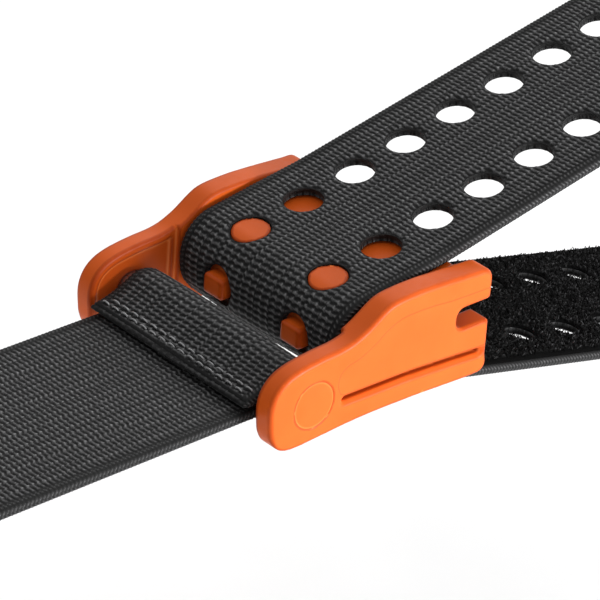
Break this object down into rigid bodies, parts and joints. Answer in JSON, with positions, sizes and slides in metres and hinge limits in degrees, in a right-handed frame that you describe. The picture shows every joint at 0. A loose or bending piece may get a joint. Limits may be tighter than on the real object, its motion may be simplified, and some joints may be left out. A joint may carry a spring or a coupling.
{
  "type": "spur leg-strap buckle",
  "caption": "Moulded leg-strap buckle for tree climbing spurs, with a strap sewn round its front pin and a perforated pile-lined strap held on drum pegs.",
  "frame": {"origin": "on the buckle's leg side, the plane of both cheeks' bottom edges, mid-width, straight below the front pin's axis", "axes": "+X along the buckle from the front pin towards the perforated strap, +Y across the buckle, +Z away from the leg"},
  "size_m": [0.3196, 0.064, 0.0971],
  "materials": {
    "moulded_orange": "satin moulded nylon",
    "plug_orange": "satin moulded nylon",
    "pin_steel": "drawn steel bar",
    "charcoal_webbing": "ribbed woven nylon",
    "black_pile": "knitted loop pile",
    "black_hook": "hook tape",
    "grey_thread": "bonded polyester thread"
  },
  "bodies": {
    "buckle": {"buckle_frame": "moulded_orange", "front_pin": "pin_steel", "near_pin_plug": "plug_orange", "far_pin_plug": "plug_orange", "wrap_webbing": "charcoal_webbing", "wrap_lining": "black_pile"},
    "tail": {"tail_webbing": "charcoal_webbing", "tail_lining": "black_pile", "tail_hook_patch": "black_hook", "tail_patch_stitching": "grey_thread"},
    "lead": {"lead_webbing": "charcoal_webbing", "lead_lining": "black_pile", "lead_eye_webbing": "charcoal_webbing", "lead_eye_stitching": "grey_thread"},
    "anchor_strap": {"anchor_loop_webbing": "charcoal_webbing", "anchor_webbing": "charcoal_webbing", "anchor_eye_webbing": "charcoal_webbing", "anchor_loop_stitching": "grey_thread", "anchor_eye_stitching": "grey_thread"}
  },
  "joints": [
    {"name": "anchor_swing", "type": "hinge", "parent": "buckle", "child": "anchor_strap", "pos_m": [0, 0, 0.0082], "axis": [0, 1, 0], "range_deg": [-60, 75]},
    {"name": "tail_peel", "type": "hinge", "parent": "buckle", "child": "tail", "pos_m": [0.04343, 0, 0.02598], "axis": [0, -1, 0], "range_deg": [-18, 50]},
    {"name": "lead_swing", "type": "hinge", "parent": "buckle", "child": "lead", "pos_m": [0.02904, 0, 0.00028], "axis": [0, -1, 0], "range_deg": [-30, 10]}
  ]
}
